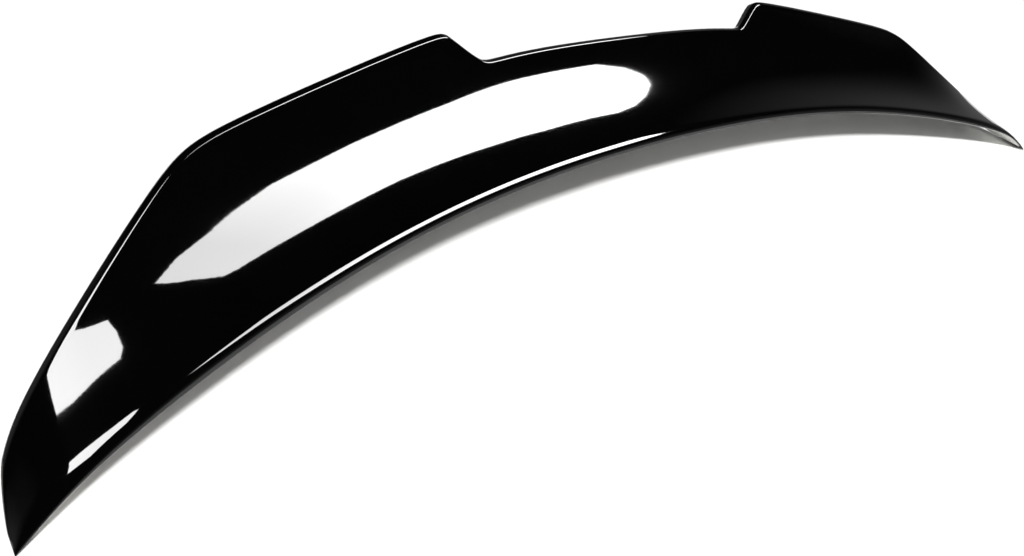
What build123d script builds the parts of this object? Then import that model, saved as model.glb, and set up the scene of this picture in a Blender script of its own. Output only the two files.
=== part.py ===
"""Rear spoiler for the boot lid of a car: one moulded shell, stuck on with strips of foam tape.

Millimetres. x runs across the car, y to the rear and z up. The origin lies on the lid, under the
middle of the front tape. Every section of the shell is a plane across x, drawn by the functions below.
"""
import math
import os

from build123d import *

# Front edge: where the ramp starts on the lid
HALF_WIDTH = 600.0
FRONT_LEAD = 118.0
FRONT_BEND_X = 355.0
FRONT_BEND_SOFT = 265.0
LID_CROWN = 38.0
LID_FALL = 0.05
TIP_DROP = 21.5
TIP_DROP_RUN = 25.0
TIP_DROP_SOFT = 35.0
TIP_DROP_OF_LIP = 0.4

# Lip line: where the ramp ends, as if the lip had no notch and the tips no drop, from the front edge
LIP_DEPTH = 132.0
LIP_HEIGHT = 72.5
WING_BEND_X = 169.0
WING_BEND_SOFT = 76.0
SHOULDER_INSET = 148.5
SHOULDER_SOFT = 20.5
SHOULDER_DEPTH = 54.0
SHOULDER_HEIGHT = 40.5
CHEEK_INSET = 5.0
CHEEK_SOFT = 13.0
CHEEK_DEPTH = -56.0
CHEEK_HEIGHT = -43.0
TIP_DEPTH = -75.5
TIP_ROUND = 8.0
TIP_CAP = 0.8

# Notch: the lower middle of the lip
NOTCH_SETBACK = 23.0
NOTCH_HALF_WIDTH = 179.0
NOTCH_SIDE_RUN = 32.5
NOTCH_SOFT = 6.0

# Section: nose, ramp, lip and rear face
NOSE_HEIGHT = 6.0
NOSE_LENGTH = 7.0
RAMP_HOLLOW = 0.75
TIP_HOLLOW = 0.35
TIP_HOLLOW_SOFT = 50.0
LIP_THICKNESS = 12.0
LIP_ROUND = 3.0
THIN_OUT_HEIGHT = 14.0
REAR_LEAN = 0.36
REAR_HOLLOW = 0.5

# Inside of the moulding
WALL = 3.0
FRONT_LAND = 20.0
REAR_LAND = 10.0
TIP_SOLID = 45.0
RIB_THICKNESS = 2.0
RIB_PITCH = 130.0
RIB_CLEARANCE = 4.0

# Adhesive tape
TAPE_THICKNESS = 1.1
FRONT_TAPE_WIDTH = 12.0
REAR_TAPE_WIDTH = 6.0
TAPE_EDGE_GAP = 2.0
TAPE_END_GAP = 8.0

FRONT_EDGE_Y = -(TAPE_EDGE_GAP + FRONT_TAPE_WIDTH / 2)
FRONT_EDGE_Z = TAPE_THICKNESS - LID_FALL * FRONT_EDGE_Y
SHOULDER_X = HALF_WIDTH - SHOULDER_INSET
CHEEK_X = HALF_WIDTH - CHEEK_INSET
HOLLOW_END_X = HALF_WIDTH - TIP_SOLID
TIP_ROUND_X = HALF_WIDTH - TIP_ROUND
QUARTER_ARC = 4 / 3 * (math.sqrt(2) - 1)

# Stations of the lofts: they start left of the middle and are cut off there
OUTER_START_X = -40.0
INNER_START_X = -24.0
STATION_PITCH = 14.0
NOTCH_SHRINK = 0.6
SHOULDER_SHRINK = 0.35
TURN_REACH = 40.0
TIP_STATIONS = 6
TIP_ROUND_STATIONS = 4


def hinge(d, softness):
    """Zero before a corner and d after it, with a rounded turn between."""
    return (d + math.hypot(d, softness)) / 2


def bend(x, corner, softness):
    """The hinge at both x = corner and x = -corner, and zero in the middle."""
    x = abs(x)
    return hinge(x - corner, softness) + hinge(-x - corner, softness) - 2 * hinge(-corner, softness)


def share_of_bend(x, corner, softness):
    """The same, as a share of its value at the end of a tip."""
    return bend(x, corner, softness) / bend(HALF_WIDTH, corner, softness)


def tip_fall(x):
    """How far the tip is bent down over the side of the lid at x."""
    return TIP_DROP * share_of_bend(x, HALF_WIDTH - TIP_DROP_RUN, TIP_DROP_SOFT)


def ramp_hollow(x):
    """How hollow the ramp is at x: it gets flatter from the shoulder to the tip."""
    return RAMP_HOLLOW + (TIP_HOLLOW - RAMP_HOLLOW) * share_of_bend(x, SHOULDER_X, TIP_HOLLOW_SOFT)


def front_edge(x):
    """Lower edge of the nose: swept forward and down towards the tips."""
    y = FRONT_EDGE_Y - FRONT_LEAD * share_of_bend(x, FRONT_BEND_X, FRONT_BEND_SOFT)
    z = FRONT_EDGE_Z - LID_CROWN * (x / HALF_WIDTH) ** 2 - tip_fall(x)
    return y, z


def lip_line(x):
    """End of the whole ramp: straight runs from the middle to the shoulder, the cheek and the tip."""
    wing = SHOULDER_X - WING_BEND_X
    cheek = CHEEK_X - SHOULDER_X
    slopes_y = (
        (SHOULDER_DEPTH - LIP_DEPTH) / wing,
        (CHEEK_DEPTH - SHOULDER_DEPTH) / cheek,
        (TIP_DEPTH - CHEEK_DEPTH) / CHEEK_INSET,
    )
    slopes_z = ((SHOULDER_HEIGHT - LIP_HEIGHT) / wing, (CHEEK_HEIGHT - SHOULDER_HEIGHT) / cheek)
    at_wing = bend(x, WING_BEND_X, WING_BEND_SOFT)
    at_shoulder = bend(x, SHOULDER_X, SHOULDER_SOFT)
    at_cheek = bend(x, CHEEK_X, CHEEK_SOFT)
    y = FRONT_EDGE_Y + LIP_DEPTH + slopes_y[0] * at_wing
    y += (slopes_y[1] - slopes_y[0]) * at_shoulder + (slopes_y[2] - slopes_y[1]) * at_cheek
    z = FRONT_EDGE_Z + LIP_HEIGHT + slopes_z[0] * at_wing + (slopes_z[1] - slopes_z[0]) * at_shoulder
    return y, z - TIP_DROP_OF_LIP * tip_fall(x)


def notch(x):
    """How far the lip is set forward at x: all of it in the middle, nothing on the wings."""
    a = abs(x) - NOTCH_HALF_WIDTH
    side = hinge(a, NOTCH_SOFT) - hinge(a - NOTCH_SIDE_RUN, NOTCH_SOFT)
    return NOTCH_SETBACK * (1 - side / NOTCH_SIDE_RUN)


def closing(x):
    """One along the span, and most of a quarter ellipse over the rounded end of each tip."""
    into = (abs(x) - TIP_ROUND_X) / (TIP_ROUND + TIP_CAP)
    return math.sqrt(1 - into * into) if into > 0 else 1.0


def yz(place):
    """The two coordinates of a place within its section."""
    return place.Y, place.Z


class Section:
    """The outline of the spoiler in the plane at x, as points (y, z)."""

    def __init__(self, x):
        self.x = x
        self.front = self.fy, self.fz = front_edge(x)
        full_y, full_z = lip_line(x)
        self.depth = (full_y - self.fy) * closing(x)
        self.rise = (full_z - self.fz) * closing(x)
        height = self.rise + LID_FALL * self.depth
        self.hollow = ramp_hollow(x)
        bulk = 1 - math.exp(-height / THIN_OUT_HEIGHT)
        self.nose = NOSE_HEIGHT * bulk
        self.round = LIP_ROUND * bulk
        self.end = self.ramp(self.fy + self.depth - notch(x))
        slope = math.atan(self.slope(self.end[0]))
        self.along = (math.cos(slope), math.sin(slope))
        self.across = (math.sin(slope), -math.cos(slope))
        foot_y = self.fy + self.depth - REAR_LEAN * height
        self.foot = (foot_y, self.lid(foot_y))
        self.back = self.step(self.end, along=self.round, across=LIP_THICKNESS * bulk)
        reach = REAR_HOLLOW * math.dist(self.back, self.foot)
        self.waist = self.step(self.back, along=-reach)

    def lid(self, y):
        """Height of the shell's underside, which follows the lid."""
        return self.fz - LID_FALL * (y - self.fy)

    def ramp(self, y):
        """Point of the ramp at y: a cubic that starts flat and steepens to the lip."""
        t = (y - self.fy) / self.depth
        share = (1 - self.hollow) * t + self.hollow * t**3
        return y, self.fz + self.nose + (self.rise - self.nose) * share

    def slope(self, y):
        """Rise of the ramp per millimetre at y."""
        t = (y - self.fy) / self.depth
        return (self.rise - self.nose) / self.depth * (1 - self.hollow + 3 * self.hollow * t * t)

    def step(self, point, along=0.0, across=0.0):
        """The point moved along the end of the ramp and across it, away from the air above."""
        y = point[0] + along * self.along[0] + across * self.across[0]
        z = point[1] + along * self.along[1] + across * self.across[1]
        return y, z

    def ramp_poles(self, y0, y1):
        """Bezier poles of the cubic between y0 and y1."""
        third = (y1 - y0) / 3
        z0, z1 = self.ramp(y0)[1], self.ramp(y1)[1]
        return [
            (y0, z0),
            (y0 + third, z0 + third * self.slope(y0)),
            (y1 - third, z1 - third * self.slope(y1)),
            (y1, z1),
        ]

    def curve(self, *points):
        """Bezier edge, or a line for two points, in this section's plane."""
        places = [Vector(self.x, y, z) for y, z in points]
        return Edge.make_line(*places) if len(places) == 2 else Edge.make_bezier(*places)

    def halves(self, *points):
        """Bezier edges for the two halves of a curve with a tight turn."""
        first, last = [], []
        while points:
            first.append(points[0])
            last.insert(0, points[-1])
            points = [((a + c) / 2, (b + d) / 2) for (a, b), (c, d) in zip(points, points[1:])]
        return [self.curve(*first), self.curve(*last)]

    def outside(self):
        """Edges from the front edge over the nose, the ramp and the rounded lip to the rear foot."""
        length = min(NOSE_LENGTH, self.depth / 4)
        nose_end = self.ramp(self.fy + length)
        nose_pole = (self.fy, nose_end[1] - length * self.slope(nose_end[0]))
        r = self.round
        pull = r * QUARTER_ARC
        crest = self.step(self.end, along=r, across=r)
        return [
            *self.halves(self.front, nose_pole, nose_end),
            self.curve(*self.ramp_poles(nose_end[0], self.end[0])),
            *self.halves(self.end, self.step(self.end, along=pull), self.step(crest, across=-pull), crest),
            self.curve(crest, self.back),
            self.curve(self.back, self.waist, self.foot),
        ]

    def inside(self, depth, bottom):
        """Edges of the hollow from the rear land to the front land, depth as a share of the wall."""
        wall = WALL * depth
        front_y = self.fy + FRONT_LAND * depth
        rear_y = self.foot[0] - REAR_LAND * depth
        poles = self.ramp_poles(front_y, self.end[0])
        inner = []
        for i, (y, z) in enumerate(poles):
            angle = math.atan(self.slope(front_y + (self.end[0] - front_y) * i / 3))
            inner.append((y + wall * math.sin(angle), z - wall * math.cos(angle)))
        top = self.step(self.back, along=-self.round, across=-wall)
        waist = (self.waist[0] - wall, self.waist[1] + wall / 2)
        return [
            self.curve((rear_y, self.lid(rear_y) + bottom), waist, top),
            self.curve(top, inner[3]),
            self.curve(*reversed(inner)),
            self.curve(inner[0], (inner[0][0], self.lid(inner[0][0]) + bottom)),
        ]

    def solid_outline(self):
        """The outside, closed by a straight underside."""
        return Wire(self.outside() + [self.curve(self.foot, self.front)])

    def shell_outline(self):
        """The outside, the two lands on the lid and the hollow between them."""
        inside = self.inside(1.0, 0.0)
        rear_land = self.curve(self.foot, yz(inside[0] @ 0))
        front_land = self.curve(yz(inside[-1] @ 1), self.front)
        return Wire(self.outside() + [rear_land] + inside + [front_land])

    def rib_outline(self):
        """The hollow, let into the walls by half their thickness and kept clear of the lid."""
        inside = self.inside(0.5, RIB_CLEARANCE)
        return Wire(inside + [self.curve(yz(inside[-1] @ 1), yz(inside[0] @ 0))])

    def strip(self, y0, y1):
        """Closed outline of a strip of tape between y0 and y1, running up into the shell."""
        low = [(y, self.lid(y) - TAPE_THICKNESS) for y in (y0, y1)]
        high = [(y, self.lid(y) + TAPE_THICKNESS) for y in (y1, y0)]
        corners = low + high
        return Wire([self.curve(a, b) for a, b in zip(corners, corners[1:] + corners[:1])])


def spread(start, end, count):
    """Evenly spaced values from start up to but not including end."""
    return [start + (end - start) * i / count for i in range(count)]


def span_stations(start, limit):
    """Values of x from start to limit, in steps that shrink where the outline turns."""
    notch_middle = NOTCH_HALF_WIDTH + NOTCH_SIDE_RUN / 2
    found = [start]
    while found[-1] < limit:
        x = found[-1]
        near_notch = math.exp(-(((x - notch_middle) / TURN_REACH) ** 2))
        near_shoulder = math.exp(-(((x - SHOULDER_X) / TURN_REACH) ** 2))
        found.append(x + STATION_PITCH * (1 - NOTCH_SHRINK * near_notch - SHOULDER_SHRINK * near_shoulder))
    return [start + (x - start) * (limit - start) / (found[-1] - start) for x in found]


def tip_stations(start):
    """Even values of x from start to the rounded end of the tip."""
    return spread(start, TIP_ROUND_X, TIP_STATIONS) + [TIP_ROUND_X]


def tip_round_stations():
    """Values of x over the rounded end of the tip, at even angles of its ellipse."""
    radius = TIP_ROUND + TIP_CAP
    angles = spread(0, math.asin(TIP_ROUND / radius), TIP_ROUND_STATIONS)
    return [TIP_ROUND_X + radius * math.sin(a) for a in angles] + [HALF_WIDTH]


def loft_along(stations, outline):
    """Smooth solid through the outlines at the stations."""
    return Solid.make_loft([outline(Section(x)) for x in stations])


def mirrored(shape):
    """The part of the shape right of the middle, and its mirror image."""
    right = split(shape, Plane.YZ, keep=Keep.TOP)
    return right + mirror(right, about=Plane.YZ)


def rib(x):
    """Cross rib that fills the hollow at x."""
    return extrude(Face(Section(x).rib_outline()), RIB_THICKNESS / 2, dir=(1, 0, 0), both=True)


def make_right_shell():
    """Hollow span from left of the middle to the solid right tip, with cross ribs inside."""
    shell = loft_along(span_stations(OUTER_START_X, HOLLOW_END_X), Section.shell_outline)
    shell += loft_along(tip_stations(HOLLOW_END_X), Section.solid_outline)
    shell += loft_along(tip_round_stations(), Section.solid_outline)
    for x in spread(0, HOLLOW_END_X, round(HOLLOW_END_X / RIB_PITCH)):
        shell += rib(x)
    return shell


def front_strip(section):
    """Tape under the front land."""
    start = section.fy + TAPE_EDGE_GAP
    return section.strip(start, start + FRONT_TAPE_WIDTH)


def rear_strip(section):
    """Tape under the rear land."""
    end = section.foot[0] - TAPE_EDGE_GAP
    return section.strip(end - REAR_TAPE_WIDTH, end)


def tip_strip(section):
    """Tape under the solid tip, from edge to edge."""
    return section.strip(section.fy + TAPE_EDGE_GAP, section.foot[0] - TAPE_EDGE_GAP)


def make_long_tape(outline, shell):
    """Strip from tip to tip, cut to the shell's underside."""
    return mirrored(loft_along(span_stations(INNER_START_X, HOLLOW_END_X), outline) - shell)


def make_right_tip_tape(shell):
    """Short strip under the right tip, cut to the shell's underside."""
    return loft_along(tip_stations(HOLLOW_END_X + TAPE_END_GAP), tip_strip) - shell


def main():
    shell = make_right_shell()
    tip_tape = make_right_tip_tape(shell)
    pieces = {
        "spoiler_shell": mirrored(shell),
        "front_tape": make_long_tape(front_strip, shell),
        "rear_tape": make_long_tape(rear_strip, shell),
        "left_tip_tape": mirror(tip_tape, about=Plane.YZ),
        "right_tip_tape": tip_tape,
    }
    os.makedirs("parts", exist_ok=True)
    for node, shape in pieces.items():
        export_step(shape, f"parts/{node}.step")


main()
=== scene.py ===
"""Looks of a boot-lid spoiler: a painted shell as a computed surface, foam tapes and a small studio."""

import math

import bmesh
import bpy
import numpy as np
from bpy.props import FloatProperty, FloatVectorProperty, PointerProperty
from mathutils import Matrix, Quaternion, Vector


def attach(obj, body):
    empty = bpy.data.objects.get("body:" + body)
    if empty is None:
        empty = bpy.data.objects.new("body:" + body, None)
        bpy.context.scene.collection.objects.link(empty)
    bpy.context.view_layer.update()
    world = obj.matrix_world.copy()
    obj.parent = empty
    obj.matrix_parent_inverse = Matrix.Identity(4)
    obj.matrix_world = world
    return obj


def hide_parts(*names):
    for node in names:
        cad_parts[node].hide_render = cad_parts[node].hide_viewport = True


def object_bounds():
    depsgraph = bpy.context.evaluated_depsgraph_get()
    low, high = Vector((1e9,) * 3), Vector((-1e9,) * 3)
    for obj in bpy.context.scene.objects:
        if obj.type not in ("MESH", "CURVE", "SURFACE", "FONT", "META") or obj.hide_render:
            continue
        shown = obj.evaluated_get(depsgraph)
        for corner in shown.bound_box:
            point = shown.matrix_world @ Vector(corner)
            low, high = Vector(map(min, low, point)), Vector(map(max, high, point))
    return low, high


bl_info = {
    "name": "Boot-lid Spoiler",
    "version": (1, 0, 0),
    "blender": (4, 5, 0),
    "location": "View3D > Sidebar > Spoiler",
    "description": "Builds the painted shell of a boot-lid spoiler, dresses its tapes and sets up a studio",
    "category": "Add Mesh",
}

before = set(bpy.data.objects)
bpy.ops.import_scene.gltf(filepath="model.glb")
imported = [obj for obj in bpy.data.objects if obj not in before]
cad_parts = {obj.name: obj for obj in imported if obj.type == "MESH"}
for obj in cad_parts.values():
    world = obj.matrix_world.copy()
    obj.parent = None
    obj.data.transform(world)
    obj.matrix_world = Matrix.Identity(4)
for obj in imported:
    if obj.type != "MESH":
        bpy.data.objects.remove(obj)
CAD_LOW, CAD_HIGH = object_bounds()
TAPE_NODES = ("front_tape", "rear_tape", "left_tip_tape", "right_tip_tape")

# Points on each run of a section: outside from the front edge, inside from the rear land
OUTSIDE_POINTS = {
    "nose": 9, "ramp": 40, "crease": 5, "border": 3, "corner": 7, "edge": 3, "break": 5, "rear": 20,
}
INSIDE_POINTS = {"rear": 14, "top": 2, "ramp": 20, "front": 4}

# The most that the nose takes of a section's depth, and the broken lower edge of the rear face
NOSE_LIMIT = 1 / 4
BREAK_LIMIT = 0.4

# How far the waist of the hollow's rear wall is moved in along y and z, in wall thicknesses
WAIST_SHIFT = np.array([-1.0, 0.5])

# Spacing of the stations along the span, in metres, over the hollow and on the solid tips
HOLLOW_PITCH = 0.004
TIP_PITCH = 0.0025

# How much the stations' density gains at the notch's side and at the shoulder, and over which width
NOTCH_CROWD = 3
NOTCH_CROWD_WIDTH = 0.022
SHOULDER_CROWD = 2
SHOULDER_CROWD_WIDTH = 0.03

# Samples for the density's running sum, and stations on the round of a tip's end
DENSITY_SAMPLES = 4000
TIP_ROUND_STATIONS = 13

# Seams closer than this, in metres, are merged, and edges sharper than these angles stay sharp
MERGE_DISTANCE = 2e-6
SHELL_SHARP_ANGLE = math.radians(35)
STAGE_SHARP_ANGLE = math.radians(60)

# Points around the floor, and on the curve of the backdrop
TURN_ANGLES = 97
SWEEP_POINTS = 20

# Sockets of the Mix node for colours, which share their names with its other sockets
MIX_FIRST = 6
MIX_SECOND = 7
MIX_RESULT = 2

# How far the paint's roughness strays from its mean, as a share of it
POLISH_SPREAD = 0.2

# Range of distances that the camera sees, in metres
CLIP_START = 0.01
CLIP_END = 50

# Each softbox: shares of the full light at its left end and on the rest, and corners (x, y) in metres
SOFTBOXES = {
    "long_softbox": ((0.74, 1.0), (
        (-0.22, -0.05), (-0.02, -0.16), (0.19, -0.20), (0.32, -0.29), (0.45, -0.36), (0.71, -0.34),
        (0.86, -0.29), (1.00, -0.23), (1.21, -0.20), (1.40, -0.18), (1.51, -0.04), (1.60, 0.16),
        (1.66, 0.36), (1.68, 0.58), (1.65, 0.70), (1.56, 0.74), (1.40, 0.71), (1.15, 0.68),
        (0.92, 0.61), (0.55, 0.46), (0.22, 0.39), (0.03, 0.34), (-0.02, 0.31), (-0.09, 0.14),
    )),
    "short_softbox": ((0.92, 0.88), (
        (-1.62, 0.83), (-1.57, 0.52), (-1.34, 0.34), (-1.04, 0.10), (-0.66, 0.07), (-0.63, 0.20),
        (-0.64, 0.35), (-0.69, 0.42), (-0.91, 0.50),
    )),
}


def linear(code):
    """Linear colour with full alpha from an sRGB hex code."""
    parts = [int(code[i : i + 2], 16) / 255 for i in (1, 3, 5)]
    return [c / 12.92 if c <= 0.04045 else ((c + 0.055) / 1.055) ** 2.4 for c in parts] + [1.0]


def length(name, text, default):
    """A property that holds a length in metres."""
    return FloatProperty(name=name, description=text, default=default, unit="LENGTH", precision=4)


def number(name, text, default):
    """A property that holds a plain number."""
    return FloatProperty(name=name, description=text, default=default, precision=3)


def colour(name, text, code):
    """A property that holds a colour, given as an sRGB hex code."""
    return FloatVectorProperty(
        name=name, description=text, default=linear(code), subtype="COLOR", size=4, min=0, max=1
    )


class SpoilerForm(bpy.types.PropertyGroup):
    """Sizes of the moulded shell"""

    half_width: length("Half width", "From the middle to the end of a tip", CAD_HIGH.x)
    front_y: length("Front edge, y", "Where the front edge lies at the middle, along the car", -0.008)
    front_z: length("Front edge, z", "Where the front edge lies at the middle, above the lid", 0.0015)
    front_lead: length("Tip lead", "How far the tips reach ahead of the front edge's middle", 0.118)
    front_bend: length("Front bend", "Where the front edge turns forward", 0.355)
    front_bend_soft: length("Front bend softness", "How wide that turn is", 0.265)
    lid_crown: length("Lid crown", "How far the lid falls from its middle to its sides", 0.038)
    lid_fall: number("Lid fall", "Fall of the lid to the rear, per length", 0.05)
    tip_drop: length("Tip drop", "How far the tips bend down over the lid's side", 0.0215)
    tip_drop_run: length("Tip drop run", "How long that bend is", 0.025)
    tip_drop_soft: length("Tip drop softness", "How soft that bend is", 0.035)
    tip_lip_share: number("Lip's share of the drop", "How much of the tip's drop the lip shares", 0.4)
    lip_depth: length("Lip depth", "From the front edge to the lip at the middle, without the notch", 0.132)
    lip_height: length("Lip height", "Height of the lip at the middle, without the notch", 0.0725)
    wing_bend: length("Wing bend", "Where the lip turns from the middle to the wings", 0.169)
    wing_bend_soft: length("Wing bend softness", "How wide that turn is", 0.076)
    shoulder_inset: length("Shoulder inset", "From the tip's end to the shoulder", 0.1485)
    shoulder_soft: length("Shoulder softness", "How wide the turn at the shoulder is", 0.0205)
    shoulder_depth: length("Shoulder depth", "Place of the shoulder behind the front edge's middle", 0.054)
    shoulder_height: length("Shoulder height", "Height of the shoulder over that middle", 0.0405)
    cheek_inset: length("Cheek inset", "From the tip's end to the end of the cheek", 0.005)
    cheek_soft: length("Cheek softness", "How wide the turn at the end of the cheek is", 0.013)
    cheek_depth: length("Cheek depth", "Place of the cheek's end behind the front edge's middle", -0.056)
    cheek_height: length("Cheek height", "Height of the cheek's end over that middle", -0.043)
    tip_depth: length("Tip depth", "Place of the tip behind the front edge's middle", -0.0755)
    tip_round: length("Tip round", "How much of the tip's end is rounded", 0.008)
    tip_cap: length("Tip cap", "How far the rounding would go on past the end", 0.0008)
    notch_setback: length("Notch setback", "How far the middle of the lip is set forward", 0.023)
    notch_half_width: length("Notch half width", "Half of the lower lip's width", 0.179)
    notch_side_run: length("Notch side", "Width of the slanted side of the notch", 0.0325)
    notch_soft: length("Notch softness", "How wide the turns of the notch are", 0.006)
    nose_height: length("Nose height", "Height of the rounded front edge", 0.006)
    nose_length: length("Nose length", "Depth of the rounded front edge", 0.007)
    tip_nose_length: length("Tip nose length", "The same depth at the end of a tip", 0.017)
    nose_bend: length("Nose bend", "Where the rounded front edge starts to get deeper", 0.5)
    nose_bend_soft: length("Nose bend softness", "How softly it starts to get deeper", 0.02)
    ramp_hollow: number("Ramp hollow", "Share of the ramp's rise that comes with the cube of the way", 0.75)
    tip_hollow: number("Tip hollow", "The same share at the end of a tip", 0.35)
    tip_hollow_soft: length("Tip hollow softness", "How softly that share starts to change", 0.05)
    lip_thickness: length("Lip thickness", "Thickness of the lip's edge", 0.012)
    lip_round: length("Lip round", "Radius of the lip's upper edge", 0.003)
    lip_crease: length("Lip crease", "How far before the lip's end the ramp breaks downwards", 0.0012)
    crease_soft: length("Crease softness", "How far that crease is rounded to each side", 0.0008)
    border_fall: number("Border fall", "Fall of the border behind the crease, per length of the ramp", 1.0)
    cheek_crease: length("Cheek crease", "The crease's distance at the end of a tip", 0.0065)
    cheek_crease_soft: length("Cheek crease softness", "Its rounding at the end of a tip", 0.0035)
    cheek_border_fall: number("Cheek border fall", "The border's fall at the end of a tip", 0.2)
    lip_break: length("Lip break", "Radius that breaks the lip's lower edge", 0.0008)
    thin_out_height: length("Thin-out height", "Height below which nose and lip get thinner", 0.014)
    rear_lean: number("Rear lean", "How far the rear foot stands forward, per height", 0.36)
    rear_hollow: number("Rear hollow", "How deep the rear face is drawn in", 0.5)
    wall: length("Wall", "Thickness of the moulding", 0.003)
    front_land: length("Front land", "Width of the front land on the lid", 0.02)
    rear_land: length("Rear land", "Width of the rear land on the lid", 0.01)
    tip_solid: length("Solid tip", "Length of the tip that isn't hollow", 0.045)
    rib_thickness: length("Rib thickness", "Thickness of the cross ribs", 0.002)
    rib_pitch: length("Rib pitch", "About how far apart the cross ribs stand", 0.13)
    rib_clearance: length("Rib clearance", "How far the ribs stay above the lid", 0.004)


class SpoilerFinish(bpy.types.PropertyGroup):
    """Colours and gloss of the paint and the tapes"""

    paint: colour("Paint", "Black of the paint", "#020202")
    paint_haze: colour("Paint haze", "Black of the paint where it is a little paler", "#040404")
    paint_roughness: number("Paint roughness", "Roughness of the polished paint", 0.035)
    cloud_size: length("Cloud size", "Width of the paler clouds in the paint", 0.06)
    peel_size: length("Orange peel size", "Width of the ripples in the paint", 0.004)
    peel_depth: length("Orange peel depth", "Depth of the ripples in the paint", 0.000004)
    liner: colour("Liner", "Colour of the tape's paper liner", "#e6e5e0")
    foam: colour("Foam", "Colour of the tape's foam", "#c8c8c5")
    foam_cell: length("Foam cell", "Width of a cell of the foam, coarse enough to show", 0.0006)
    foam_pit: length("Foam pit", "Depth of a cell of the foam", 0.0001)


class StudioSetup(bpy.types.PropertyGroup):
    """Camera, floor and lamps"""

    camera_place: FloatVectorProperty(
        name="Camera place", description="Where the camera stands", subtype="TRANSLATION",
        default=(-0.6006, -0.39179, 0.34132),
    )
    camera_aim: FloatVectorProperty(
        name="Camera aim", description="Point that the camera looks at", subtype="TRANSLATION",
        default=(-0.14132, 0.02924, -0.16047),
    )
    camera_roll: FloatProperty(
        name="Camera roll", description="Turn of the camera about its own axis", subtype="ANGLE",
        default=math.radians(16.042),
    )
    lens: FloatProperty(name="Lens", description="Focal length", default=28.125, unit="CAMERA")
    sensor: FloatProperty(name="Sensor", description="Width of the sensor", default=36, unit="CAMERA")
    paper: colour("Paper", "Colour of the floor and the backdrop", "#fdfdfc")
    tooth_size: length("Tooth size", "Width of the paper's tooth", 0.002)
    tooth_depth: length("Tooth depth", "Depth of the paper's tooth", 0.0001)
    floor_radius: length("Floor radius", "Radius of the flat part of the floor", 3.4)
    sweep_radius: length("Sweep radius", "Radius of the curve at the floor's rim", 1.3)
    key_place: FloatVectorProperty(
        name="Key place", description="Where the key lamp's light comes from", subtype="TRANSLATION",
        default=(-0.85, -1.4, 2.5),
    )
    key_strength: number("Key strength", "Light of the key lamp, in watts per square metre", 3.5)
    key_angle: FloatProperty(
        name="Key angle", description="How wide the key lamp looks, which softens the shadow",
        subtype="ANGLE", default=math.radians(8),
    )
    fill_place: FloatVectorProperty(
        name="Fill place", description="Where the fill lamp stands", subtype="TRANSLATION",
        default=(-2.0, -2.2, 1.4),
    )
    fill_power: number("Fill power", "Power of the fill lamp, in watts", 31.0)
    fill_size: length("Fill size", "Side of the square fill lamp", 4.0)
    softbox_height: length("Softbox height", "Height of the softboxes that the gloss mirrors", 1.5)
    softbox_strength: number("Softbox strength", "Brightness of the softboxes", 24.0)
    softbox_end: length("Softbox end", "Length of a softbox's left end, which has its own brightness", 0.7)
    room_pale: number("Pale room", "Brightness of the room near the horizon", 0.25)
    room_dark: number("Dark room", "Brightness of the room overhead", 0.003)
    room_pale_rise: number("Pale rise", "Sine of the elevation up to which the room is pale", 0.2)
    room_dark_rise: number("Dark rise", "Sine of the elevation from which the room is dark", 0.55)


def blend(first, last, way):
    """The first value where the way is zero and the last where it is one, evenly between them."""
    return first + (last - first) * way


def hinge(d, softness):
    """Zero before a corner and d after it, along a hyperbola of the given softness."""
    return (d + np.hypot(d, softness)) / 2


def bend(x, corner, softness):
    """The hinge at both corner and -corner, less its value in the middle."""
    x = np.abs(x)
    return hinge(x - corner, softness) + hinge(-x - corner, softness) - 2 * hinge(-corner, softness)


def arc(poles, count):
    """Points on the arc of the poles: their sum, weighted by binomial terms of an even t."""
    t = np.linspace(0, 1, count)
    n = len(poles) - 1
    weights = [math.comb(n, k) * t**k * (1 - t) ** (n - k) for k in range(n + 1)]
    return sum(w[:, None] * p[:, None, :] for w, p in zip(weights, poles))


def quarter(start, corner, end, count):
    """A quarter round: the cubic arc whose inner poles lie 0.5523 of the way to the corner."""
    pull = 4 / 3 * (math.sqrt(2) - 1)
    return arc([start, start + pull * (corner - start), end + pull * (corner - end), end], count)


def joined(*runs):
    """The runs of points one after the other, each without the point that the one before ends with."""
    return np.concatenate([runs[0]] + [run[:, 1:] for run in runs[1:]], 1)


def mirrored(right):
    """Stations of both halves, from those of the right half, which start in the middle."""
    return np.concatenate([-right[:0:-1], right])


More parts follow.
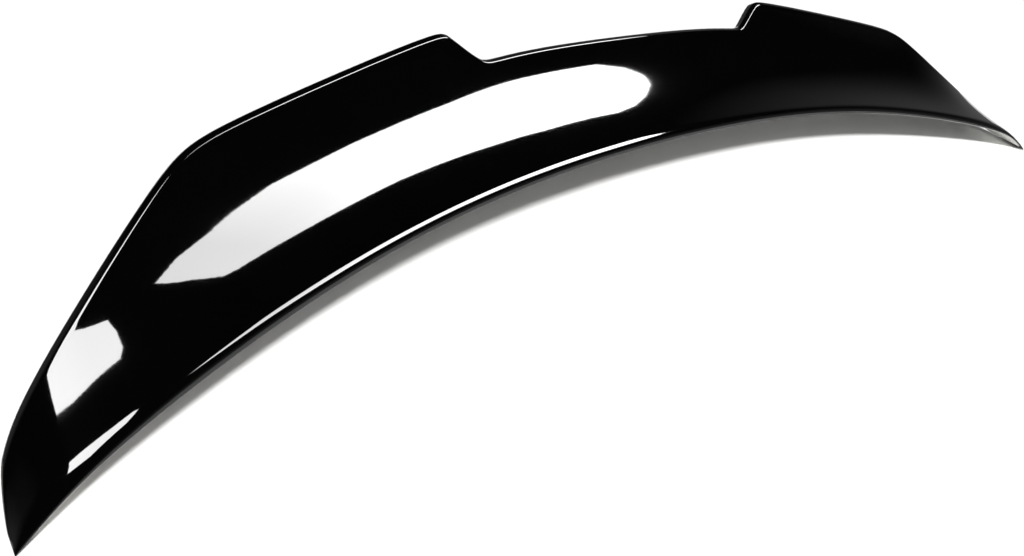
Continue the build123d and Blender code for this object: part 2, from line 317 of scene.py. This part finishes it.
class Sections:
    """Outlines of the shell in planes across x, one row of points (y, z) for each station."""

    def __init__(self, form, x):
        """Works out the points that the outlines share; the tip's end closes along an ellipse."""
        self.form = form
        self.x = x
        self.front_y, self.front_z = self.front_edge()
        self.hollow = self.ramp_hollow()
        lip_y, lip_z = self.lip_line()
        past_round = np.abs(x) - form.half_width + form.tip_round
        closing = np.sqrt(1 - np.clip(past_round / (form.tip_round + form.tip_cap), 0, 1) ** 2)
        self.depth = (lip_y - self.front_y) * closing
        self.rise = (lip_z - self.front_z) * closing
        height = self.rise + form.lid_fall * self.depth
        self.bulk = 1 - np.exp(-height / form.thin_out_height)
        self.nose = form.nose_height * self.bulk
        self.round = form.lip_round * self.bulk
        self.lip_break = form.lip_break * self.bulk
        self.end_y = self.front_y + self.depth - self.notch()
        self.end = self.ramp(self.end_y)
        angle = np.arctan(self.slope(self.end_y))
        self.along = np.stack([np.cos(angle), np.sin(angle)], -1)
        self.across = np.stack([np.sin(angle), -np.cos(angle)], -1)
        self.front = np.stack([self.front_y, self.front_z], -1)
        self.foot = self.on_lid(self.front_y + self.depth - form.rear_lean * height)
        self.back = self.step(self.end, self.round, form.lip_thickness * self.bulk)
        self.reach = form.rear_hollow * np.linalg.norm(self.back - self.foot, axis=-1)
        self.waist = self.step(self.back, -self.reach, 0)

    def share_of_bend(self, corner, softness):
        """The bend as a share of its value at a tip's end: zero up to the corner, then evenly to one."""
        return bend(self.x, corner, softness) / bend(self.form.half_width, corner, softness)

    def front_edge(self):
        """Front edge: forward by a soft hinge towards the tips, down by a parabola and a last hinge."""
        form = self.form
        y = form.front_y - form.front_lead * self.share_of_bend(form.front_bend, form.front_bend_soft)
        return y, form.front_z - form.lid_crown * (self.x / form.half_width) ** 2 - self.tip_fall()

    def tip_fall(self):
        """How far the tip is bent down at x: a soft hinge."""
        form = self.form
        return form.tip_drop * self.share_of_bend(form.half_width - form.tip_drop_run, form.tip_drop_soft)

    def lip_line(self):
        """Lip without its notch: straight runs to the shoulder, cheek and tip, joined by soft hinges."""
        form = self.form
        shoulder = form.half_width - form.shoulder_inset
        cheek = form.half_width - form.cheek_inset
        runs = shoulder - form.wing_bend, cheek - shoulder, form.cheek_inset
        depths = form.lip_depth, form.shoulder_depth, form.cheek_depth, form.tip_depth
        heights = form.lip_height, form.shoulder_height, form.cheek_height
        slope_y = np.diff(depths) / runs
        slope_z = np.diff(heights) / runs[:2]
        turns = (
            bend(self.x, form.wing_bend, form.wing_bend_soft),
            bend(self.x, shoulder, form.shoulder_soft),
            bend(self.x, cheek, form.cheek_soft),
        )
        y = form.front_y + form.lip_depth + slope_y[0] * turns[0]
        y = y + (slope_y[1] - slope_y[0]) * turns[1] + (slope_y[2] - slope_y[1]) * turns[2]
        z = form.front_z + form.lip_height + slope_z[0] * turns[0] + (slope_z[1] - slope_z[0]) * turns[1]
        return y, z - form.tip_lip_share * self.tip_fall()

    def notch(self):
        """How far the lip is set forward: the setback in the middle, less a run between two hinges."""
        form = self.form
        past_corner = np.abs(self.x) - form.notch_half_width
        past_side = past_corner - form.notch_side_run
        side = hinge(past_corner, form.notch_soft) - hinge(past_side, form.notch_soft)
        return form.notch_setback * (1 - side / form.notch_side_run)

    def ramp_hollow(self):
        """Hollow of the ramp, which fades along the cheek."""
        form = self.form
        fade = self.share_of_bend(form.half_width - form.shoulder_inset, form.tip_hollow_soft)
        return blend(form.ramp_hollow, form.tip_hollow, fade)

    def on_lid(self, y, lift=0.0):
        """Points on the underside, which falls evenly to the rear, or lifted off it."""
        return np.stack([y, self.front_z - self.form.lid_fall * (y - self.front_y) + lift], -1)

    def ramp(self, y):
        """Points on the ramp: part of the rise goes with the way t, the rest with its cube."""
        t = (y - self.front_y) / self.depth
        risen = (1 - self.hollow) * t + self.hollow * t**3
        return np.stack([y, self.front_z + self.nose + (self.rise - self.nose) * risen], -1)

    def slope(self, y):
        """Rise of the ramp per length, the derivative of its cubic."""
        t = (y - self.front_y) / self.depth
        return (self.rise - self.nose) / self.depth * (1 - self.hollow + 3 * self.hollow * t**2)

    def step(self, points, along, across):
        """The points moved along the end of the ramp and across it, into the lip."""
        along = np.broadcast_to(along, self.x.shape)
        across = np.broadcast_to(across, self.x.shape)
        return points + along[:, None] * self.along + across[:, None] * self.across

    def outside(self):
        """Nose as a parabola, ramp as a cubic, then a soft crease, a sloping border, a rounded corner, the
        lip's edge, its broken lower edge, and the rear face as a parabola."""
        form, count = self.form, OUTSIDE_POINTS
        cheek = self.share_of_bend(form.half_width - form.shoulder_inset, form.shoulder_soft)
        tip = self.share_of_bend(form.nose_bend, form.nose_bend_soft)

        # Nose, whose pole lies straight above the front edge and on the ramp's tangent
        nose_length = blend(form.nose_length, form.tip_nose_length, tip)
        nose_length = np.minimum(nose_length, NOSE_LIMIT * self.depth)
        nose_end = self.ramp(self.front_y + nose_length)
        nose_pole_z = nose_end[:, 1] - nose_length * self.slope(nose_end[:, 0])
        nose_pole = np.stack([self.front_y, nose_pole_z], -1)

        # Ramp up to the start of the crease
        inset = self.bulk * blend(form.lip_crease, form.cheek_crease, cheek)
        soft = self.bulk * blend(form.crease_soft, form.cheek_crease_soft, cheek)
        ramp_end = self.end_y - (inset + soft) * self.along[:, 0]
        way = np.linspace(0, 1, count["ramp"])
        ramp_y = nose_end[:, :1] + (ramp_end - nose_end[:, 0])[:, None] * way
        ramp = np.stack([self.ramp(y) for y in ramp_y.T], 1)

        # Border from the crease to the lip's corner
        fall = blend(form.border_fall, form.cheek_border_fall, cheek)
        crease = self.ramp(self.end_y - inset * self.along[:, 0])
        corner = self.step(self.end, self.round, fall * (self.round + inset))
        border = (corner - crease) / np.linalg.norm(corner - crease, axis=-1)[:, None]
        border_start = crease + soft[:, None] * border
        border_end = corner - self.round[:, None] / 2 * border
        crest = self.step(corner, 0, self.round / 2)

        # Lower edge, and what it leaves of the rear face's parabola
        edge_end = self.step(self.back, 0, -self.lip_break)
        first = np.clip(self.lip_break / (2 * self.reach), 0, BREAK_LIMIT)[:, None]
        rear_start = (1 - first) ** 2 * self.back + 2 * first * (1 - first) * self.waist
        rear_start = rear_start + first**2 * self.foot
        rear_pole = (1 - first) * self.waist + first * self.foot

        return joined(
            arc([self.front, nose_pole, nose_end], count["nose"]),
            ramp,
            arc([ramp[:, -1], crease, border_start], count["crease"]),
            arc([border_start, border_end], count["border"]),
            arc([border_end, corner, crest], count["corner"]),
            arc([crest, edge_end], count["edge"]),
            quarter(edge_end, self.back, rear_start, count["break"]),
            arc([rear_start, rear_pole, self.foot], count["rear"]),
        )

    def inside(self, wall_share=1.0, lift=0.0):
        """The hollow from the rear land to the front land: outer curves moved in by a share of the wall."""
        form, count = self.form, INSIDE_POINTS
        wall = form.wall * wall_share
        front_y = self.front_y + form.front_land * wall_share
        rear_y = self.foot[:, 0] - form.rear_land * wall_share

        # Poles of the ramp's cubic from the front land to the lip, each moved in square to the ramp
        third = (self.end_y - front_y) / 3
        starts = ((front_y, 0), (front_y, 1), (self.end_y, -1), (self.end_y, 0))
        poles = []
        for thirds, (y, pull) in enumerate(starts):
            tangent = np.stack([np.ones_like(y), self.slope(y)], -1)
            angle = np.arctan(self.slope(front_y + thirds * third))
            inwards = np.stack([np.sin(angle), -np.cos(angle)], -1)
            poles.append(self.ramp(y) + (pull * third)[:, None] * tangent + wall * inwards)

        top = self.step(self.back, -self.round, -wall)
        waist = self.waist + wall * WAIST_SHIFT
        rear = self.on_lid(rear_y, lift)
        front = self.on_lid(poles[0][:, 0], lift)
        return joined(
            arc([rear, waist, top], count["rear"]),
            arc([top, poles[3]], count["top"]),
            arc(poles[::-1], count["ramp"]),
            arc([poles[0], front], count["front"]),
        )

    def placed(self, points):
        """Section points (y, z) as points (x, y, z)."""
        x = np.broadcast_to(self.x[:, None, None], points.shape[:2] + (1,))
        return np.concatenate([x, points], -1)


def even_by_density(start, end, density, pitch):
    """Stations whose spacing is pitch over the density: even steps of the density's running sum."""
    x = np.linspace(start, end, DENSITY_SAMPLES)
    dense = density(x)
    total = np.concatenate([[0], np.cumsum((dense[1:] + dense[:-1]) / 2 * np.diff(x))])
    return np.interp(np.linspace(0, total[-1], math.ceil(total[-1] / pitch) + 1), total, x)


def span_stations(form):
    """Stations of the right half, over the hollow and on the tip: closer by a bell curve at the notch's
    side and at the shoulder, and by the sine of even angles over the tip's round."""
    notch = form.notch_half_width + form.notch_side_run / 2
    shoulder = form.half_width - form.shoulder_inset
    hollow_end = form.half_width - form.tip_solid
    round_start = form.half_width - form.tip_round
    round_reach = form.tip_round + form.tip_cap

    def density(x):
        at_notch = np.exp(-(((x - notch) / NOTCH_CROWD_WIDTH) ** 2))
        at_shoulder = np.exp(-(((x - shoulder) / SHOULDER_CROWD_WIDTH) ** 2))
        return 1 + NOTCH_CROWD * at_notch + SHOULDER_CROWD * at_shoulder

    last_angle = math.asin(form.tip_round / round_reach)
    tip = round_start + round_reach * np.sin(np.linspace(0, last_angle, TIP_ROUND_STATIONS))
    middle = even_by_density(0.0, hollow_end, density, HOLLOW_PITCH)
    outer = even_by_density(hollow_end, round_start, density, TIP_PITCH)
    return middle, np.concatenate([outer, tip[1:]])


class Surface:
    """Collects grids and flat faces for one mesh."""

    def __init__(self):
        self.points = []
        self.faces = []
        self.count = 0

    def keep(self, points):
        """Takes in the points and gives the number of the first one."""
        first = self.count
        self.count += len(points)
        self.points.append(points)
        return first

    def grid(self, points):
        """Quads between the rows and columns of a grid of points, facing rows cross columns."""
        rows, columns = points.shape[:2]
        at = self.keep(points.reshape(-1, 3)) + np.arange(rows * columns).reshape(rows, columns)
        quads = np.stack([at[:-1, :-1], at[1:, :-1], at[1:, 1:], at[:-1, 1:]], -1)
        self.faces += quads.reshape(-1, 4).tolist()

    def plate(self, points):
        """One flat face around the points, facing by the right hand."""
        self.faces.append((self.keep(points) + np.arange(len(points))).tolist())

    def make(self, name, sharp_angle):
        """Mesh object with its seams merged, smooth but for edges sharper than the angle."""
        mesh = bpy.data.meshes.new(name)
        mesh.from_pydata(np.concatenate(self.points).tolist(), [], self.faces)
        work = bmesh.new()
        work.from_mesh(mesh)
        bmesh.ops.remove_doubles(work, verts=work.verts, dist=MERGE_DISTANCE)
        work.to_mesh(mesh)
        work.free()
        mesh.shade_smooth()
        mesh.set_sharp_from_angle(angle=sharp_angle)
        piece = bpy.data.objects.new(name, mesh)
        bpy.context.scene.collection.objects.link(piece)
        return piece


def shell_surface(form):
    """Closed skin of the shell: the outside over the whole span, the hollow between the tips, its two end
    walls, and the flat undersides and ends of the tips."""
    middle, outer = span_stations(form)
    skin = Surface()
    whole = Sections(form, mirrored(np.concatenate([middle, outer[1:]])))
    skin.grid(whole.placed(whole.outside()))
    hollow = Sections(form, mirrored(middle))
    inside = hollow.inside()
    loop = np.concatenate([hollow.foot[:, None], inside, hollow.front[:, None]], 1)
    skin.grid(hollow.placed(loop))
    walls = hollow.placed(inside)
    skin.plate(walls[0])
    skin.plate(walls[-1, ::-1])

    # A tip's underside has its lands where the hollow's last section has them
    lands = loop[-1, [0, 1, -2, -1], 0]
    way = ((lands - lands[0]) / (lands[-1] - lands[0]))[:, None]
    for stations in (-outer[::-1], outer):
        tip = Sections(form, stations)
        flat = (1 - way) * tip.foot[:, None] + way * tip.front[:, None]
        skin.grid(tip.placed(flat))
        rims = np.concatenate([tip.placed(tip.outside()), tip.placed(flat)[:, 1:-1]], 1)
        skin.plate(rims[0] if stations[0] < 0 else rims[-1, ::-1])
    return skin


def add_ribs(skin, form):
    """Cross ribs: the hollow's outline, let into the walls by half, as thin prisms."""
    hollow_end = form.half_width - form.tip_solid
    count = round(hollow_end / form.rib_pitch)
    for x in mirrored(hollow_end / count * np.arange(count)):
        outline = Sections(form, np.array([x])).inside(wall_share=0.5, lift=form.rib_clearance)[0]
        faces = x - form.rib_thickness / 2, x + form.rib_thickness / 2
        sides = [np.column_stack([np.full(len(outline), face), outline]) for face in faces]
        skin.plate(sides[0][::-1])
        skin.plate(sides[1])
        ring = np.stack(sides)[:, ::-1]
        skin.grid(np.concatenate([ring, ring[:, :1]], 1))


def add_node(tree, kind, sockets=None, **settings):
    """A node with its settings, and its sockets set to values or linked to other sockets."""
    node = tree.nodes.new(kind)
    for name, value in settings.items():
        setattr(node, name, value)
    for key, value in (sockets or {}).items():
        if isinstance(value, bpy.types.NodeSocket):
            tree.links.new(value, node.inputs[key])
        else:
            node.inputs[key].default_value = value
    return node


def new_material(name):
    """An empty node material and its tree."""
    material = bpy.data.materials.new(name)
    material.use_nodes = True
    material.node_tree.nodes.clear()
    return material, material.node_tree


def paint_material(finish):
    """Gloss black paint over moulded ABS: nearly no colour, one sharp mirror layer, faint orange peel."""
    material, tree = new_material("gloss_black_paint_on_abs")
    place = add_node(tree, "ShaderNodeTexCoord").outputs["Object"]
    cloud = add_node(
        tree, "ShaderNodeTexNoise", {"Vector": place, "Scale": 1 / finish.cloud_size, "Detail": 2.0}
    )
    blacks = add_node(
        tree, "ShaderNodeMix",
        {"Factor": cloud.outputs["Fac"], MIX_FIRST: finish.paint, MIX_SECOND: finish.paint_haze},
        data_type="RGBA",
    )
    polish = add_node(
        tree, "ShaderNodeMapRange",
        {
            "Value": cloud.outputs["Fac"],
            "To Min": finish.paint_roughness * (1 - POLISH_SPREAD),
            "To Max": finish.paint_roughness * (1 + POLISH_SPREAD),
        },
    )
    peel = add_node(
        tree, "ShaderNodeTexNoise", {"Vector": place, "Scale": 1 / finish.peel_size, "Detail": 1.0}
    )
    ripple = add_node(
        tree, "ShaderNodeBump",
        {"Height": peel.outputs["Fac"], "Strength": 1.0, "Distance": finish.peel_depth},
    )
    paint = add_node(
        tree, "ShaderNodeBsdfPrincipled",
        {
            "Base Color": blacks.outputs[MIX_RESULT],
            "Roughness": polish.outputs["Result"],
            "IOR": 1.5,
            "Normal": ripple.outputs["Normal"],
        },
    )
    add_node(tree, "ShaderNodeOutputMaterial", {"Surface": paint.outputs["BSDF"]})
    return material


def tape_material(finish):
    """Acrylic foam tape with a paper liner: matt and pale, mottled and pitted by the cells of the foam."""
    material, tree = new_material("acrylic_foam_tape")
    place = add_node(tree, "ShaderNodeTexCoord").outputs["Object"]
    cells = add_node(tree, "ShaderNodeTexVoronoi", {"Vector": place, "Scale": 1 / finish.foam_cell})
    tint = add_node(
        tree, "ShaderNodeMix",
        {"Factor": cells.outputs["Distance"], MIX_FIRST: finish.foam, MIX_SECOND: finish.liner},
        data_type="RGBA",
    )
    pits = add_node(
        tree, "ShaderNodeBump",
        {"Height": cells.outputs["Distance"], "Strength": 0.4, "Distance": finish.foam_pit},
    )
    tape = add_node(
        tree, "ShaderNodeBsdfPrincipled",
        {
            "Base Color": tint.outputs[MIX_RESULT],
            "Roughness": 0.8,
            "Normal": pits.outputs["Normal"],
        },
    )
    add_node(tree, "ShaderNodeOutputMaterial", {"Surface": tape.outputs["BSDF"]})
    return material


def paper_material(studio):
    """Background paper: matt and nearly white, with a faint tooth."""
    material, tree = new_material("background_paper")
    place = add_node(tree, "ShaderNodeTexCoord").outputs["Object"]
    tooth = add_node(
        tree, "ShaderNodeTexNoise", {"Vector": place, "Scale": 1 / studio.tooth_size, "Detail": 2.0}
    )
    bump = add_node(
        tree, "ShaderNodeBump",
        {"Height": tooth.outputs["Fac"], "Strength": 0.1, "Distance": studio.tooth_depth},
    )
    paper = add_node(
        tree, "ShaderNodeBsdfDiffuse", {"Color": studio.paper, "Normal": bump.outputs["Normal"]}
    )
    add_node(tree, "ShaderNodeOutputMaterial", {"Surface": paper.outputs["BSDF"]})
    return material


def softbox_material(studio, left, shares):
    """White cloth lit from behind: an even glow, which changes a little near its left end."""
    material, tree = new_material("softbox_cloth")
    place = add_node(tree, "ShaderNodeTexCoord").outputs["Object"]
    across = add_node(tree, "ShaderNodeSeparateXYZ", {"Vector": place}).outputs["X"]
    light = add_node(
        tree, "ShaderNodeMapRange",
        {
            "Value": across,
            "From Min": left + studio.softbox_end / 2,
            "From Max": left + studio.softbox_end,
            "To Min": studio.softbox_strength * shares[0],
            "To Max": studio.softbox_strength * shares[1],
        },
    )
    glow = add_node(tree, "ShaderNodeEmission", {"Strength": light.outputs["Result"]})
    add_node(tree, "ShaderNodeOutputMaterial", {"Surface": glow.outputs["Emission"]})
    return material


class SPOILER_OT_shell(bpy.types.Operator):
    """Build the painted shell with its hollow underside and cross ribs"""

    bl_idname = "spoiler.shell"
    bl_label = "Painted shell"

    def execute(self, context):
        scene = context.scene
        skin = shell_surface(scene.spoiler_form)
        add_ribs(skin, scene.spoiler_form)
        piece = skin.make("painted_shell", SHELL_SHARP_ANGLE)
        piece.data.materials.append(paint_material(scene.spoiler_finish))
        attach(piece, "root")
        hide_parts("spoiler_shell")
        return {"FINISHED"}


class SPOILER_OT_tapes(bpy.types.Operator):
    """Give the foam tapes under the shell their finish"""

    bl_idname = "spoiler.tapes"
    bl_label = "Foam tapes"

    def execute(self, context):
        tape = tape_material(context.scene.spoiler_finish)
        for name in TAPE_NODES:
            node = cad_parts[name]
            for slot in node.material_slots:
                slot.material = tape
        return {"FINISHED"}


def turned(radius, height):
    """Surface of a profile of radii and heights turned about z, at even angles."""
    angle = np.linspace(0, 2 * math.pi, TURN_ANGLES)
    radius, height, angle = np.broadcast_arrays(radius[:, None], height[:, None], angle)
    paper = Surface()
    paper.grid(np.stack([radius * np.cos(angle), radius * np.sin(angle), height], -1))
    return paper


class SPOILER_OT_stage(bpy.types.Operator):
    """Set up the floor, the lamps, the softboxes and the camera"""

    bl_idname = "spoiler.stage"
    bl_label = "Studio"

    def execute(self, context):
        scene = context.scene
        studio = scene.spoiler_studio
        self.add_paper(studio)
        self.add_softboxes(studio)
        self.add_lamps(scene, studio)
        self.add_world(scene, studio)
        self.add_camera(scene, studio)
        scene.view_settings.view_transform = "Standard"
        return {"FINISHED"}

    def add_paper(self, studio):
        """Flat floor, and a backdrop that turns up from its rim as a quarter circle and isn't mirrored."""
        low = CAD_LOW.z
        flat = np.array([0.0, 0.5, 1.0]) * studio.floor_radius
        turn = np.linspace(0, math.pi / 2, SWEEP_POINTS)
        sweep_radius = studio.floor_radius + studio.sweep_radius * np.sin(turn)
        sweep_height = low + studio.sweep_radius * (1 - np.cos(turn))
        profiles = {
            "floor": (flat, np.full_like(flat, low)),
            "backdrop": (sweep_radius, sweep_height),
        }
        paper = paper_material(studio)
        for name, (radius, height) in profiles.items():
            piece = turned(radius, height).make(name, STAGE_SHARP_ANGLE)
            piece.data.materials.append(paper)
            piece.visible_glossy = name == "floor"

    def add_softboxes(self, studio):
        """Bright cloths overhead that only the gloss mirrors."""
        for name, (shares, corners) in SOFTBOXES.items():
            box = Surface()
            box.plate(np.column_stack([corners, np.full(len(corners), studio.softbox_height)]))
            piece = box.make(name, STAGE_SHARP_ANGLE)
            piece.data.materials.append(softbox_material(studio, min(corners)[0], shares))
            piece.visible_camera = False
            piece.visible_diffuse = False
            piece.visible_shadow = False

    def add_lamps(self, scene, studio):
        """A key lamp high in front and to the left, and a wide soft fill lower on the same side."""
        key = bpy.data.lights.new("key", "SUN")
        key.energy = studio.key_strength
        key.angle = studio.key_angle
        fill = bpy.data.lights.new("fill", "AREA")
        fill.energy = studio.fill_power
        fill.size = studio.fill_size
        places = ((key, Vector(studio.key_place)), (fill, Vector(studio.fill_place)))
        for lamp, place in places:
            item = bpy.data.objects.new(lamp.name, lamp)
            scene.collection.objects.link(item)
            item.location = place
            item.rotation_mode = "QUATERNION"
            item.rotation_quaternion = (-place).to_track_quat("-Z", "Y")
            item.visible_glossy = False

    def add_world(self, scene, studio):
        """A dim room: nearly dark overhead, a little paler at the horizon."""
        world = bpy.data.worlds.new("dim_room")
        scene.world = world
        world.use_nodes = True
        tree = world.node_tree
        tree.nodes.clear()
        way = add_node(tree, "ShaderNodeTexCoord").outputs["Generated"]
        up = add_node(tree, "ShaderNodeSeparateXYZ", {"Vector": way}).outputs["Z"]
        glow = add_node(
            tree, "ShaderNodeMapRange",
            {
                "Value": up,
                "From Min": studio.room_pale_rise,
                "From Max": studio.room_dark_rise,
                "To Min": studio.room_pale,
                "To Max": studio.room_dark,
            },
        )
        back = add_node(tree, "ShaderNodeBackground", {"Strength": glow.outputs["Result"]})
        add_node(tree, "ShaderNodeOutputWorld", {"Surface": back.outputs["Background"]})

    def add_camera(self, scene, studio):
        """Camera that looks at its aim, turned about its own axis."""
        data = bpy.data.cameras.new("camera")
        data.lens = studio.lens
        data.sensor_width = studio.sensor
        data.clip_start = CLIP_START
        data.clip_end = CLIP_END
        camera = bpy.data.objects.new("camera", data)
        scene.collection.objects.link(camera)
        place = Vector(studio.camera_place)
        ahead = Vector(studio.camera_aim) - place
        roll = Quaternion((0, 0, 1), studio.camera_roll)
        camera.location = place
        camera.rotation_mode = "QUATERNION"
        camera.rotation_quaternion = ahead.to_track_quat("-Z", "Y") @ roll
        scene.camera = camera


class SPOILER_PT_panel(bpy.types.Panel):
    """Sizes, finishes and steps of the spoiler"""

    bl_idname = "SPOILER_PT_panel"
    bl_label = "Boot-lid spoiler"
    bl_space_type = "VIEW_3D"
    bl_region_type = "UI"
    bl_category = "Spoiler"

    def draw(self, context):
        """A button for each operator, then every value of each group."""
        layout = self.layout
        for operator in OPERATORS:
            layout.operator(operator.bl_idname)
        for group in GROUPS:
            values = getattr(context.scene, group)
            for name in values.__annotations__:
                layout.prop(values, name)


OPERATORS = (SPOILER_OT_shell, SPOILER_OT_tapes, SPOILER_OT_stage)
GROUPS = {"spoiler_form": SpoilerForm, "spoiler_finish": SpoilerFinish, "spoiler_studio": StudioSetup}


def register():
    """Registers the classes and gives the scene a group of each kind."""
    for kind in (*GROUPS.values(), *OPERATORS, SPOILER_PT_panel):
        bpy.utils.register_class(kind)
    for name, group in GROUPS.items():
        setattr(bpy.types.Scene, name, PointerProperty(type=group))


def unregister():
    """Takes back what register did, in the opposite order."""
    for name in GROUPS:
        delattr(bpy.types.Scene, name)
    for kind in (SPOILER_PT_panel, *reversed(OPERATORS), *reversed(GROUPS.values())):
        bpy.utils.unregister_class(kind)


def main():
    """Builds the spoiler and its stage."""
    register()
    bpy.ops.spoiler.shell()
    bpy.ops.spoiler.tapes()
    bpy.ops.spoiler.stage()


if __name__ == "__main__":
    main()
